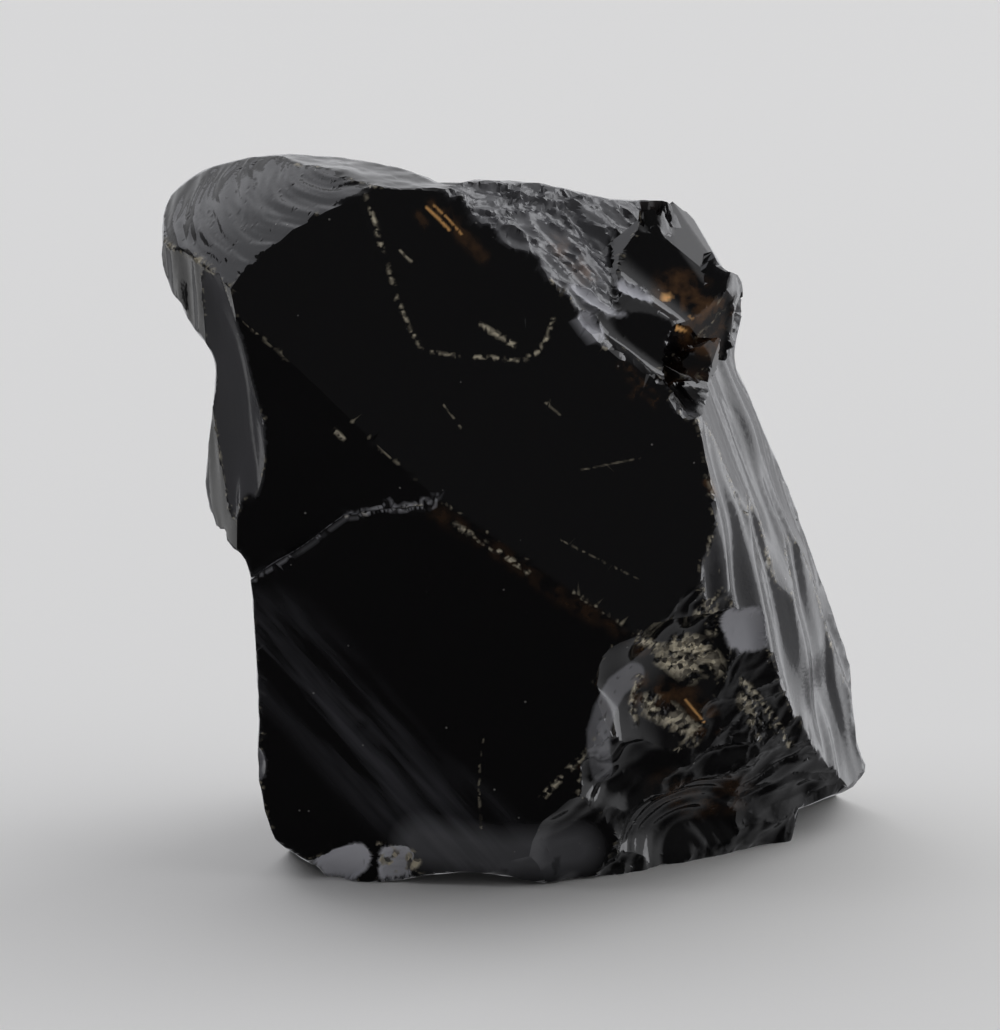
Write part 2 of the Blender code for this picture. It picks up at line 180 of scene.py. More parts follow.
stone = dict(
    outline=[
        (-33.8, 27.0), (-33.7, 30.0), (-33.0, 32.0), (-31.0, 33.7), (-28.5, 35.0), (-25.0, 35.8),
        (-21.0, 36.2), (-15.5, 35.8), (-12.0, 35.2), (-9.0, 34.5), (-6.0, 33.2), (-4.5, 33.0),
        (-2.5, 33.6), (4.0, 33.2), (7.5, 32.5), (11.0, 31.7), (15.5, 31.5), (18.0, 31.2), (19.3, 30.3),
        (20.5, 28.0), (21.5, 26.0), (22.5, 24.7), (23.8, 24.0), (24.4, 22.5), (24.1, 19.5),
        (23.4, 15.5), (24.5, 13.0), (27.0, 7.0), (28.5, 3.5), (31.5, -4.5), (33.0, -8.5),
        (35.0, -15.0), (35.2, -18.5), (35.8, -23.0), (36.6, -25.0),
        (36.0, -26.5), (34.5, -27.7), (31.0, -29.1), (29.5, -29.7), (29.7, -31.0), (29.0, -33.0),
        (28.0, -33.7), (24.0, -34.2), (20.0, -34.7), (16.0, -35.3), (14.0, -36.3), (12.8, -36.5),
        (10.0, -36.1), (4.5, -36.9), (1.0, -36.2), (-3.0, -35.8), (-6.0, -36.0), (-10.0, -36.5),
        (-15.5, -37.3), (-17.0, -36.7), (-18.2, -35.3), (-21.7, -33.3), (-23.0, -31.5),
        (-24.2, -26.5), (-24.2, -20.5), (-24.7, -8.5), (-25.5, -4.5), (-26.8, -3.3), (-28.5, -1.0),
        (-29.4, 2.0), (-29.4, 4.5), (-28.8, 10.0), (-28.5, 14.5), (-29.0, 16.5), (-30.5, 18.5),
        (-32.0, 21.0), (-33.2, 23.0), (-33.8, 25.0),
    ],
    viewRise=16.0,  # the outline is seen from this many degrees above level
    viewCentre=(-1.6, -10.0, 37.2),
    viewDistance=600.0,
    centring=(-0.55, -0.67, 0.0),
    sharpAngle=0.42,  # radians between faces that show as a hard edge
    outlineWander=0.07,  # mm
    edgeRib=0.1,  # mm
    depthLeftOut=0.7,  # share of the depth that is not counted when a mark is laid on
    biteGrain=0.45,  # mm, edge lengths near bites and along marked creases
    creaseGrain=0.5,
    biteSeed=41,
    shellSeed=43,
    thinGlass=0.9,  # mm, thinner glass lets light through
    thinFade=0.7,
)


def shoulderLip(u):
    across = [-12, -9.1, -4.9, -3.3, 1.4, 6.0, 10.6, 15.6, 40]
    height = [-17, -15.3, -13.5, -12, -8.8, -5.2, -4.2, -3.8, -3]
    return np.interp(u, across, height) + 0.12 * drift(u, u * 0, 0.9, 71)


def slopeLeaves(u, v):
    # leafy scars run down the slope, and lie flatter along its top
    low = scallops(3.2, 0.7, 16, (30, 30), 2.0, -0.36)(u, v)
    low = low + scallops(1.25, 0.34, 216, (34, 34), 2.4, -0.4)(u, v)
    top = scallops(2.4, 0.62, 217, (34, 34), 0.36, 0.0, -14)(u, v) + 0.08 * drift(u, v, 0.6, 218)
    share = np.clip((v - 3.4) / 2.0 + 0.4 * drift(u, v, 2.0, 219), 0, 1)
    return low * (1 - share) + top * share


# a face's pale grey share is painted highlight where it catches the light
frontFaces = [
    dict(name="upperFace", at=(-8.5, -17.0, 52.8), facing=(0.107, -0.968, 0.228), grain=1.6,
         relief=together(uneven(16, 0.2, 11), uneven(3.5, 0.01, 111))),
    dict(name="lowerFace", at=(-6.9, -17.8, 22.7), facing=(-0.113, -0.989, -0.096), grain=1.6,
         relief=together(uneven(16, 0.2, 12), uneven(3.5, 0.01, 112))),
    dict(name="leftShoulder", at=(-22.9, -16.9, 44.7), facing=(-0.193, -0.976, -0.098), half=(40, 30), grain=0.8,
         relief=uneven(9, 0.2, 13), rim=shoulderLip),
    dict(name="crownBevel", at=(-26.7, -10.4, 68.6), facing=(-0.43, -0.478, 0.766), half=(15, 13), grain=0.45,
         relief=together(swell(38), ripples((6.1, 9.7), 2.6, 0.06, 5, 0.6), ripples((6.1, 9.7), 1.0, 0.028, 6, 0.8)),
         finish=0.3),
    dict(name="crownTop", at=(-14.3, -9.2, 71.8), facing=(0.105, -0.02, 0.994), half=(30, 20), rising=(0, 1, 0),
         grain=0.6,
         relief=together(uneven(3, 0.3, 15), uneven(0.9, 0.05, 115)), finish=0.5),
    dict(name="roughSlope", at=(4.8, -8.1, 63.9), facing=(0.536, -0.464, 0.705), half=(34, 34), grain=0.5,
         relief=together(uneven(8, 0.3, 17), slopeLeaves), finish=0.6, greyHighlight=0.11),
    dict(name="slopeFoot", at=(12.6, -13.6, 56.2), facing=(0.42, -0.72, 0.55), half=(9, 7), grain=0.45,
         relief=together(scallops(2.2, 0.5, 26, (10, 8), 2.2, -0.36), hollow(30)), finish=0.3),
    dict(name="flankTop", at=(22.0, -6.4, 43.8), facing=(0.911, -0.259, 0.319), half=(30, 48), grain=0.68,
         relief=together(flutes(3.0, 0.85, 18, -0.07), uneven(8, 0.5, 19), flutes(1.3, 0.24, 118, -0.07)),
         finish=0.9, greyHighlight=0.03),
    dict(name="flankLow", at=(25.7, -7.3, 29.8), facing=(0.871, -0.464, 0.164), half=(30, 48), grain=0.68,
         relief=together(flutes(3.4, 0.9, 28, -0.12), uneven(8, 0.5, 29), flutes(1.3, 0.24, 128, -0.12)),
         finish=0.7, greyHighlight=0.04),
    dict(name="leftWall", at=(-30.9, -12.6, 59.5), facing=(-0.822, -0.567, -0.054), half=(22, 30), grain=0.6,
         relief=together(flutes(2.4, 0.3, 20), flutes(0.8, 0.06, 120)), finish=0.3),
    dict(name="lowerRight", at=(16.9, -12.2, 11.7), facing=(0.475, -0.833, -0.283), half=(34, 30), grain=0.5,
         relief=together(scallops(5.5, 0.6, 21, (30, 28), 0.7, 0.5), uneven(9, 0.3, 22),
                         scallops(1.5, 0.2, 121, (30, 28), 1.6, 0.3)), finish=0.5),
    dict(name="cornerLedges", at=(29.6, -3.6, 7.6), facing=(0.4, -0.85, -0.34), half=(9, 4), grain=0.45,
         relief=together(ledges(1.8, 0.8, 23), hollow(24), uneven(0.7, 0.06, 123)), finish=0.5),
]

shoulderBlock = [
    (9.4, -3.5, 63.6), (12.5, -2.5, 66.0), (15.6, -4.0, 63.6), (20.6, -5.0, 59.6), (22.0, -4.5, 58.7),
    (18.4, -13.5, 50.9), (15.4, -13.5, 53.3), (9.5, -12.0, 57.6), (15.8, 4.0, 66.1), (17.8, 5.0, 64.4),
    (19.6, 3.0, 60.4), (22.4, 0.0, 57.6), (21.5, -3.0, 51.8), (18.5, 10.0, 54.4), (12.0, 8.0, 56.4),
]

bites = [
    dict(between=("upperFace", "lowerFace"), count=40, width=(0.4, 0.95)),
    dict(between=("upperFace", "leftShoulder"), count=20, width=(0.3, 0.95)),
    dict(between=("upperFace", "roughSlope", "slopeFoot"), count=40, width=(0.4, 0.95)),
    dict(between=("upperFace", "flankTop", "flankLow"), count=40, width=(0.4, 0.95)),
    dict(between=("upperFace", "crownBevel", "crownTop"), count=24, width=(0.3, 0.95)),
    dict(between=("crownBevel", "leftWall", "crownTop"), count=30, width=(0.3, 0.95)),
    dict(between=("lowerRight", "flankLow", "lowerFace", "crescent", "darkHollow", "brownArcs", "footScoop",
                  "ovalFacet"),
         count=90, width=(0.3, 0.95)),
    dict(between=("upperFace", "upperScar"), count=60, width=(0.2, 0.6)),
    dict(between=("leftTeardrop", "leftShoulder", "leftWall"), count=24, width=(0.3, 0.95)),
    dict(between=("block", "roughSlope", "flankTop", "slopeFoot"), count=12, width=(0.3, 0.8)),
]

# a scar's pale grey share is painted highlight where it catches the light
scars = [
    dict(name="upperScar", at=(-4.6, -13.75, 65.0), facing=(0.12, -0.955, 0.26), size=(9.5, 8.9), depth=0.7,
         rising=(-3.4, 2.0, 10.1), power=3.5, grain=0.9),
    dict(name="leftTeardrop", at=(-27.4, -15.0, 53.4), facing=(-0.75, -0.64, -0.12), size=(2.5, 9.5), depth=0.9,
         seed=3, rising=(-4.4, 0.5, 18.2), grain=0.4, finish=0.9, greyHighlight=0.1),
    # shoulder block: dark dished front, darker band below it and a blunt right end
    dict(name="blockFront", at=(16.7, -4.86, 62.85), facing=(0.12, -0.85, 0.51), size=(6.6, 5.2), depth=0.5,
         rising=(0.64, 0.2, 0.74), power=5, seed=21, wander=0.08, grain=0.6, reach=9.0),
    dict(name="blockFoot", at=(15.1, -11.3, 55.1), facing=(0.16, -0.94, 0.3), size=(5.8, 2.7), depth=0.55,
         rising=(0.55, 0.0, 0.83), power=4, seed=22, wander=0.1, grain=0.5),
    dict(name="blockEnd", at=(18.8, -8.0, 55.2), facing=(0.66, -0.73, -0.17), size=(5.2, 4.6), depth=1.0,
         power=6, seed=23, wander=0.06, grain=0.6),
    # flat oval scars on the slope, with pale grey painted highlight where they catch the light
    dict(name="slopeOvalHigh", at=(10.4, -8.65, 60.8), facing=(0.45, -0.62, 0.64), size=(3.2, 0.95), depth=0.6,
         rising=(0.224, 0.765, 0.584), power=4, seed=24, wander=0.08, grain=0.35, greyHighlight=0.75),
    dict(name="slopeOvalLow", at=(8.77, -11.75, 59.3), facing=(0.46, -0.66, 0.6), size=(3.7, 0.8), depth=0.5,
         rising=(0.25, 0.72, 0.62), power=3, seed=25, wander=0.12, grain=0.35, greyHighlight=0.6),
    dict(name="slopeOvalFoot", at=(7.6, -13.3, 57.5), facing=(0.4, -0.72, 0.56), size=(1.5, 0.7), depth=0.4,
         rising=(0.25, 0.7, 0.64), power=3, seed=26, wander=0.12, grain=0.35, greyHighlight=0.55),
    # the broken corner at the lower right
    dict(name="crescent", at=(15.2, -15.2, 18.2), facing=(0.4, -0.91, 0.02), size=(6.2, 6.8), depth=2.0, seed=5,
         grain=0.5, finish=0.1),
    dict(name="darkHollow", at=(14.0, -13.8, 12.6), facing=(0.1, -0.95, -0.3), size=(3.6, 3.0), depth=0.8,
         seed=6),
    dict(name="brownArcs", at=(18.7, -9.4, 6.7), facing=(0.35, -0.8, -0.5), size=(5.4, 3.8), depth=1.0, seed=7,
         extra=ripples((-1, -6), 1.5, 0.06, 9, 0.5)),
    dict(name="footScoop", at=(7.0, -15.8, 5.6), facing=(0.15, -0.93, -0.35), size=(4.2, 4.6), depth=0.7,
         seed=8, extra=ripples((-4, 5), 1.9, 0.04, 10, 0.5)),
    dict(name="tipLedges", at=(29.2, -4.4, 9.3), facing=(0.493, -0.73, -0.4725), size=(8.0, 4.6), depth=0.4,
         power=4, seed=27, wander=0.1, extra=together(ledges(2.5, 0.45, 28, 1.0), uneven(2.0, 0.3, 29)),
         grain=0.45, finish=0.5),
    # slate grey oval facet: painted highlight
    dict(name="ovalFacet", at=(22.5, -13.95, 25.3), facing=(0.55, -0.79, 0.26), size=(3.4, 2.8), depth=0.9,
         power=5, wander=0.1, grain=0.45, greyHighlight=0.42),
    # chips out of the foot of the lower face, pale grey with painted highlight
    dict(name="toeChipLeft", at=(-17.0, -14.3, 1.9), facing=(-0.4, -0.85, -0.1), size=(3.0, 1.5), depth=0.6,
         rising=(-0.49, 0.0, 0.87), power=4, seed=9, wander=0.12, grain=0.4, greyHighlight=1.0),
    dict(name="toeChipRight", at=(-12.2, -15.0, 2.1), facing=(0.1, -0.95, -0.1), size=(1.6, 1.7), depth=0.6,
         power=4, wander=0.15, extra=ledges(0.9, 0.25, 11), grain=0.4, greyHighlight=0.95),
    dict(name="toeBand", at=(2.4, -16.6, 2.0), facing=(0.0, -0.88, -0.45), size=(6.5, 2.4), depth=0.5),
    dict(name="leftNick", at=(-25.9, -14.6, 11.9), facing=(-0.7, -0.7, 0.1), size=(1.2, 1.6), depth=0.5,
         greyHighlight=0.2),
]

# places where small scars need a finer mesh than their face: centre, reach, edge length
fineSpots = [
    ((22.4, -14.0, 25.3), 4.4, 0.4),
    ((-15.0, -14.6, 2.4), 6.5, 0.4),
    ((8.6, -17.0, 18.0), 6.5, 0.5),
    ((-26.0, -15.0, 12.0), 3.0, 0.45),
]

def mark(kind, radius, strength, cover, *line, **more):
    return dict(kind=kind, radius=radius, strength=strength, cover=cover, line=line, **more)


# marks on the surface: how wide they reach, how strong they are, how much of the line they cover, and the line in mm
marks = [
    mark("crushed", 0.28, 0.75, 0.45, (-14.7, -13.4, 70.7), (-13.9, -13.8, 68.2), (-13.1, -14.3, 65.4),
         (-12.4, -14.8, 63.1), (-11.7, -15.3, 60.7), (-10.6, -15.5, 58.2), (-9.5, -15.7, 56.2),
         (-8.3, -15.7, 55.5)),
    mark("crushed", 0.26, 0.8, 0.6, (-8.3, -15.7, 55.5), (-6.5, -15.7, 55.2), (-4.4, -15.7, 55.0),
         (-1.6, -15.6, 54.9), (0.6, -15.4, 54.5), (2.1, -15.1, 55.3), (3.1, -14.6, 56.8), (3.6, -14.3, 58.4)),
    # painted golden glints in the upper scar, then its brown painted as light shining through
    mark("paintedGlint", 0.2, 0.8, 0.9, (-8.8, -12.5, 69.3), (-7.5, -12.6, 68.1), (-6.6, -12.7, 67.1)),
    mark("paintedGlint", 0.16, 0.7, 0.9, (-8.1, -12.4, 69.5), (-6.7, -12.5, 68.2), (-5.4, -12.7, 66.7)),
    mark("amberBacklight", 0.5, 0.6, 1.0, (-9.6, -12.8, 68.7), (-8.7, -12.9, 67.5)),
    mark("amberBacklight", 0.9, 0.4, 0.9, (-8.1, -12.4, 69.5), (-5.4, -12.7, 66.7), (-3.4, -13.0, 64.5)),
    mark("crushed", 0.34, 0.8, 0.65, (-3.4, -14.8, 58.0), (-1.9, -15.0, 57.1), (-0.3, -15.2, 56.1)),
    mark("crushed", 0.16, 0.8, 1.0, (-11.4, -13.9, 65.3), (-10.3, -14.0, 64.2)),
    # the long ridge and its olive chips, their brown painted as light shining through
    mark("crushed", 0.34, 0.85, 0.5, (-6.0, -19.4, 38.9), (-3.6, -19.5, 37.4), (-1.1, -19.7, 35.8),
         (1.1, -19.8, 34.2)),
    mark("amberBacklight", 1.1, 0.22, 0.8, (-8.0, -19.2, 40.2), (-3.6, -19.5, 37.4), (-1.1, -19.7, 35.8),
         (2.8, -19.9, 32.9), (8.3, -20.2, 29.3), (12.8, -16.9, 25.2)),
    mark("crushed", 0.3, 0.9, 0.9, (-17.9, -18.2, 48.2), (-17.0, -18.3, 47.4)),
    mark("crushed", 0.14, 0.35, 0.45, (-3.3, -17.6, 16.2), (-3.6, -17.4, 13.9), (-3.7, -17.1, 10.6),
         (-3.5, -16.7, 6.2)),
    mark("crushed", 0.12, 0.4, 0.8, (2.8, -16.1, 50.5), (4.3, -16.3, 49.3)),
    mark("crushed", 0.1, 0.35, 0.6, (6.3, -17.3, 43.9), (12.2, -16.5, 44.9)),
    mark("crushed", 0.1, 0.35, 0.5, (4.3, -19.1, 37.3), (8.3, -19.2, 35.2), (12.2, -19.2, 33.2)),
    mark("crushed", 0.14, 0.4, 0.5, (-7.5, -17.1, 51.0), (-5.3, -17.6, 48.1)),
    # soft grey bands on the lower face, and a pale grey painted highlight along its foot
    mark("haze", 6.0, 0.6, 1.0, (-24.3, -16.2, 26.0), (-18.6, -16.3, 19.8), (-11.6, -16.2, 10.3),
         (-4.0, -16.2, 5.0)),
    mark("greyHighlight", 3.4, 0.14, 1.0, (-9.6, -15.9, 4.6), (-1.6, -16.7, 3.4), (5.9, -15.2, 3.6)),
    mark("crushed", 1.2, 0.9, 0.5, (-13.4, -14.9, 3.3), (-12.2, -15.0, 2.2), (-10.6, -15.2, 2.6), grain=0.3,
         edge=4.0),
    # shoulder block: brown of the thin glass painted as light shining through, with painted golden glints
    mark("amberBacklight", 3.0, 0.85, 0.8, (15.9, -6.8, 59.6), (18.0, -7.5, 58.4), (20.1, -8.1, 57.6), grain=0.6),
    mark("amberBacklight", 2.0, 0.7, 0.7, (17.2, -10.2, 55.8), (19.7, -9.5, 54.6), grain=0.6),
    mark("paintedGlint", 0.55, 1.0, 1.0, (14.9, -8.2, 59.2), (15.9, -8.8, 59.7), edge=4.0),
    mark("paintedGlint", 0.34, 0.8, 1.0, (15.4, -8.1, 61.0), (15.6, -8.1, 60.8), edge=4.0),
    mark("paintedGlint", 0.36, 0.95, 0.9, (16.0, -10.0, 56.4), (17.3, -9.3, 55.9), edge=4.0),
    mark("paintedGlint", 0.3, 0.7, 0.8, (17.2, -8.8, 57.5), (18.0, -8.9, 57.0), (17.8, -8.9, 56.4), edge=4.0),
    # brown painted where light shines through the glass
    mark("amberBacklight", 1.3, 0.9, 0.7, (3.9, -8.1, 64.7), (5.3, -8.4, 63.5), (7.1, -9.8, 61.6), grain=0.5),
    mark("amberBacklight", 0.7, 0.8, 0.7, (10.5, -13.6, 53.5), (12.2, -14.8, 51.9), (13.7, -15.0, 50.4)),
    mark("amberBacklight", 0.7, 0.9, 0.9, (18.9, -16.3, 42.6), (19.6, -15.7, 41.2)),
    # crushed corner: cream and grey splinters, brown glass between them painted as light shining through, and a
    # painted glint
    mark("crushed", 1.6, 1.0, 0.66, (16.2, -14.9, 25.1), (18.4, -13.7, 24.2), (19.6, -13.0, 22.4), grain=0.3,
         shatter=0.35),
    mark("crushed", 1.5, 1.0, 0.64, (14.8, -15.0, 24.1), (17.4, -13.2, 21.7), grain=0.3, shatter=0.35),
    mark("crushed", 1.5, 0.95, 0.6, (13.4, -13.8, 18.5), (15.5, -13.1, 17.2), (17.5, -12.7, 15.0), grain=0.3,
         shatter=0.35),
    mark("crushed", 0.8, 0.7, 0.5, (18.2, -17.7, 29.1), (19.4, -17.1, 29.9), (19.6, -13.0, 26.0), grain=0.3,
         shatter=0.25),
    mark("crushed", 0.7, 0.7, 0.5, (12.3, -19.4, 27.0), (14.6, -15.4, 24.8), grain=0.3, shatter=0.2),
    mark("crushed", 1.1, 0.6, 0.42, (23.1, -11.5, 18.3), (25.2, -8.8, 13.7), grain=0.3, shatter=0.3),
    mark("crushed", 0.5, 0.6, 0.5, (22.7, -11.9, 20.5), (24.6, -10.2, 17.8), (26.2, -8.4, 15.1),
         (27.9, -6.4, 11.8), grain=0.3, shatter=0.2),
    mark("crushed", 0.45, 0.75, 0.4, (6.6, -18.6, 14.6), (4.4, -18.2, 12.2), (2.6, -17.8, 10.0), grain=0.2,
         shatter=0.12),
    mark("crushed", 0.5, 0.7, 0.5, (12.4, -15.4, 22.0), (11.6, -14.8, 19.0), (11.9, -14.2, 16.6), grain=0.3,
         shatter=0.2),
    mark("amberBacklight", 2.2, 0.5, 0.7, (12.4, -14.6, 20.3), (16.9, -13.0, 18.8), (18.9, -12.6, 16.3), grain=0.5),
    mark("amberBacklight", 2.6, 0.25, 0.8, (15.3, -12.6, 9.1), (18.7, -8.1, 6.5), (22.3, -7.9, 7.0)),
    mark("paintedGlint", 0.18, 0.7, 0.8, (17.0, -13.0, 18.8), (17.9, -13.1, 17.7), (18.9, -12.6, 16.3)),
    # pale grey painted highlight beside the crushed corner
    mark("greyHighlight", 1.35, 0.21, 1.0, (11.6, -15.8, 22.4), (10.0, -16.6, 21.3), (8.8, -17.2, 19.4),
         (8.2, -17.4, 17.0), (8.2, -17.2, 15.2), grain=0.4, edge=5.0),
    mark("greyHighlight", 1.25, 0.14, 1.0, (8.2, -17.0, 15.0), (8.7, -16.2, 12.2), grain=0.4, edge=5.0),
]

# marks that follow the edge between two fracture faces
edgeMarks = [
    dict(between=("upperFace", "lowerFace", "leftShoulder"), kind="crushed", radius=0.15, strength=0.5,
         cover=0.68),
    # pale grey painted highlight along the lip where the shoulder meets the lower face
    dict(between=("leftShoulder", "lowerFace"), kind="greyHighlight", radius=0.42, strength=0.5, cover=0.95),
    dict(between=("upperFace", "roughSlope", "slopeFoot"), kind="crushed", radius=0.3, strength=0.55,
         cover=0.45),
    dict(between=("upperFace", "flankTop", "flankLow"), kind="crushed", radius=0.35, strength=0.6, cover=0.5),
    dict(between=("upperFace", "crownBevel", "crownTop"), kind="crushed", radius=0.16, strength=0.4, cover=0.5),
    dict(between=("crownBevel", "leftWall"), kind="crushed", radius=0.4, strength=0.6, cover=0.5),
    dict(between=("leftTeardrop", "leftShoulder", "leftWall"), kind="crushed", radius=0.18, strength=0.5,
         cover=0.75),
    dict(between=("lowerRight", "flankLow"), kind="crushed", radius=0.3, strength=0.5, cover=0.45),
    dict(between=("lowerFace", "lowerRight", "crescent", "footScoop"), kind="crushed", radius=0.2, strength=0.4,
         cover=0.45),
    dict(between=("lowerFace", "wall", "footLeft"), kind="crushed", radius=0.25, strength=0.35, cover=0.35),
    dict(between=("block", "blockFront", "blockFoot", "blockEnd"), kind="crushed", radius=0.16, strength=0.35,
         cover=0.5),
]

backFaces = [
    dict(name="backLow", at=(5.0, 17.4, 24.0), facing=(0.08, 0.98, -0.03), grain=1.4,
         relief=together(hollow(260, (4, 2)), scallops(15, 0.7, 30, (46, 46)), ripples((12, 26), 6, 0.07, 1, 0.5)),
         finish=0.35),
    dict(name="backHigh", at=(-6.0, 13.2, 54.0), facing=(-0.12, 0.86, 0.5), grain=1.4,
         relief=together(hollow(110, (-3, 4)), ripples((-12, 20), 5, 0.05, 2, 0.5), uneven(9, 0.25, 35)),
         finish=0.35),
    dict(name="backLeft", at=(-33.0, -2.0, 52.0), facing=(-0.76, 0.62, -0.2), grain=1.4,
         relief=together(hollow(220, (8, 6)), scallops(12, 0.6, 31, (46, 46), 1.6)), finish=0.35),
    dict(name="footLeft", at=(-26.6, -11.0, 6.0), facing=(-0.9, 0.43, -0.05), half=(50, 30.5), grain=1.3,
         relief=together(uneven(6, 0.4, 32), scallops(11, 0.5, 33, (46, 46))), finish=0.35),
    dict(name="backTop", at=(-12.0, 3.5, 71.0), facing=(-0.1, 0.62, 0.78), grain=1.2,
         relief=together(hollow(70), scallops(9, 0.5, 34)), finish=0.35),
    dict(name="backRight", at=(32.5, 7.0, 22.0), facing=(0.76, 0.64, 0.12), grain=1.1,
         relief=together(flutes(5, 0.7, 35), hollow(110)), finish=0.2),
    dict(name="backShoulder", at=(18.5, 9.5, 58.9), facing=(0.6, 0.6, 0.53), grain=1.0,
         relief=scallops(8, 0.7, 36), finish=0.2),
    dict(name="backUnder", at=(2.0, 16.0, 5.0), facing=(-0.12, 0.74, -0.66), half=(42, 24), grain=1.2,
         relief=scallops(9, 0.6, 37), finish=0.2),
]


def hullPlanes(corners):
    shape = bmesh.new()
    for corner in corners:
        shape.verts.new(corner)
    bmesh.ops.convex_hull(shape, input=shape.verts)
    middle = np.mean(corners, axis=0)
    planes = []
    for face in shape.faces:
        outward = (face.calc_center_median() - Vector(middle)).dot(face.normal) > 0
        normal = np.array(face.normal if outward else -face.normal)
        planes.append([*normal, normal @ np.array(face.verts[0].co)])
    shape.free()
    return np.array(planes)


def smoothRing(ring, wander, parts=2):
    # curve through the outline's points, with a little wander
    ring = np.array(ring)
    before, after, beyond = (np.roll(ring, step, axis=0) for step in (1, -1, -2))
    made = []
    for t in np.arange(parts) / parts:
        made.append(0.5 * (2 * ring + (after - before) * t + (2 * before - 5 * ring + 4 * after - beyond) * t**2
                           + (3 * ring - before - 3 * after + beyond) * t**3))
    ring = np.stack(made, axis=1).reshape(-1, 2)
    return ring + wander * np.random.default_rng(77).uniform(-1, 1, ring.shape)


def wallHeight(points, stone):
    # how far points stand outside the blank's outline, seen along the way it is drawn out
    rise = np.radians(stone["viewRise"])
    q = points - np.array(stone["viewCentre"])
    grow = 1 + (q @ np.array([0, np.cos(rise), -np.sin(rise)])) / stone["viewDistance"]
    spot = np.stack([q[:, 0], q @ np.array([0, np.sin(rise), np.cos(rise)])], axis=1) / grow[:, None]
    ring = smoothRing(stone["outline"], stone["outlineWander"])
    best = np.full(len(points), 1e9)
    inside = np.zeros(len(points), bool)
    for start, end in zip(ring, np.roll(ring, -1, axis=0)):
        run = end - start
        t = np.clip((spot - start) @ run / (run @ run), 0, 1)
        best = np.minimum(best, np.linalg.norm(spot - start - t[:, None] * run, axis=1))
        crosses = (start[1] > spot[:, 1]) != (end[1] > spot[:, 1])
        with np.errstate(divide="ignore", invalid="ignore"):
            inside ^= crosses & (spot[:, 0] < start[0] + (spot[:, 1] - start[1]) / (end[1] - start[1]) * run[0])
    # ribs along the broken edge
    hackle = stone["edgeRib"] * (1 + drift(points[:, 1] * 0.3, points[:, 2] - points[:, 0], 1.3, 78))
    return np.where(inside, -best, best) * grow + hackle


def triangleEdges(triangles):
    return np.sort(np.concatenate([triangles[:, [0, 1]], triangles[:, [1, 2]], triangles[:, [2, 0]]]), axis=1)


def splitLong(points, triangles, tags, limits):
    # halve every edge that is longer than the limit of a triangle beside it
    for turn in range(14):
        edges = triangleEdges(triangles)
        keys, back = np.unique(edges[:, 0] * len(points) + edges[:, 1], return_inverse=True)
        ends = np.stack([keys // len(points), keys % len(points)], axis=1)
        long = np.linalg.norm(points[ends[:, 0]] - points[ends[:, 1]], axis=1)
        allowed = np.full(len(keys), 99.0)
        np.minimum.at(allowed, back, np.tile(limits, 3))
        marked = long > allowed
        if not marked.any():
            break
        middle = np.full(len(keys), -1)
        middle[marked] = len(points) + np.arange(marked.sum())
        points = np.concatenate([points, points[ends[marked]].mean(axis=1)])
        m = middle[back].reshape(3, -1).T
        count = (m >= 0).sum(axis=1)
        made, labels, bounds = [triangles[count == 0]], [tags[count == 0]], [limits[count == 0]]
        for number in (1, 2, 3):
            chosen = count == number
            tri, mid = triangles[chosen], m[chosen]
            if number == 1:
                first = np.argmax(mid >= 0, axis=1)
            elif number == 2:
                first = (np.argmax(mid < 0, axis=1) + 1) % 3
            else:
                first = np.zeros(len(tri), int)
            order = (first[:, None] + np.arange(3)) % 3
            tri, mid = np.take_along_axis(tri, order, axis=1), np.take_along_axis(mid, order, axis=1)
            p, q, r = tri.T
            x, y, z = mid.T
            if number == 1:
                parts = [(p, x, r), (x, q, r)]
            elif number == 2:
                short = (np.linalg.norm(points[p] - points[y], axis=1)
                         < np.linalg.norm(points[x] - points[r], axis=1))
                parts = [(x, q, y), (p, x, np.where(short, y, r)), (np.where(short, p, x), y, r)]
            else:
                parts = [(p, x, z), (x, q, y), (z, y, r), (x, y, z)]
            for part in parts:
                made.append(np.stack(part, axis=1))
                labels.append(tags[chosen])
                bounds.append(limits[chosen])
        triangles, tags, limits = np.concatenate(made), np.concatenate(labels), np.concatenate(bounds)
    return points, triangles, tags


def evenOut(points, triangles, tags):
    # turn edges inside each face so that its triangles are well shaped
    mesh = bpy.data.meshes.new("even")
    mesh.from_pydata(points.tolist(), [], triangles.tolist())
    mesh.polygons.foreach_set("material_index", tags.astype(np.int32))
    shape = bmesh.new()
    shape.from_mesh(mesh)
    same = [e for e in shape.edges if len(e.link_faces) == 2
            and e.link_faces[0].material_index == e.link_faces[1].material_index]
    bmesh.ops.beautify_fill(shape, faces=shape.faces, edges=same, method="ANGLE")
    shape.to_mesh(mesh)
    shape.free()
    triangles = np.empty(len(mesh.polygons) * 3, np.int64)
    mesh.polygons.foreach_get("vertices", triangles)
    tags = np.empty(len(mesh.polygons), np.int64)
    mesh.polygons.foreach_get("material_index", tags)
    bpy.data.meshes.remove(mesh)
    return triangles.reshape(-1, 3), tags


def cornerNormals(points, triangles, rounds):
    # direction out of the stone at each point, evened out over its neighbours
    p, q, r = points[triangles[:, 0]], points[triangles[:, 1]], points[triangles[:, 2]]
    flat = np.cross(q - p, r - p)
    total = np.zeros_like(points)
    for k in range(3):
        np.add.at(total, triangles[:, k], flat)
    total /= np.linalg.norm(total, axis=1)[:, None] + 1e-12
    for turn in range(rounds):
        more = total.copy()
        for k in range(3):
            np.add.at(more, triangles[:, k], total[triangles[:, (k + 1) % 3]] + total[triangles[:, (k + 2) % 3]])
        total = more / (np.linalg.norm(more, axis=1)[:, None] + 1e-12)
    return total


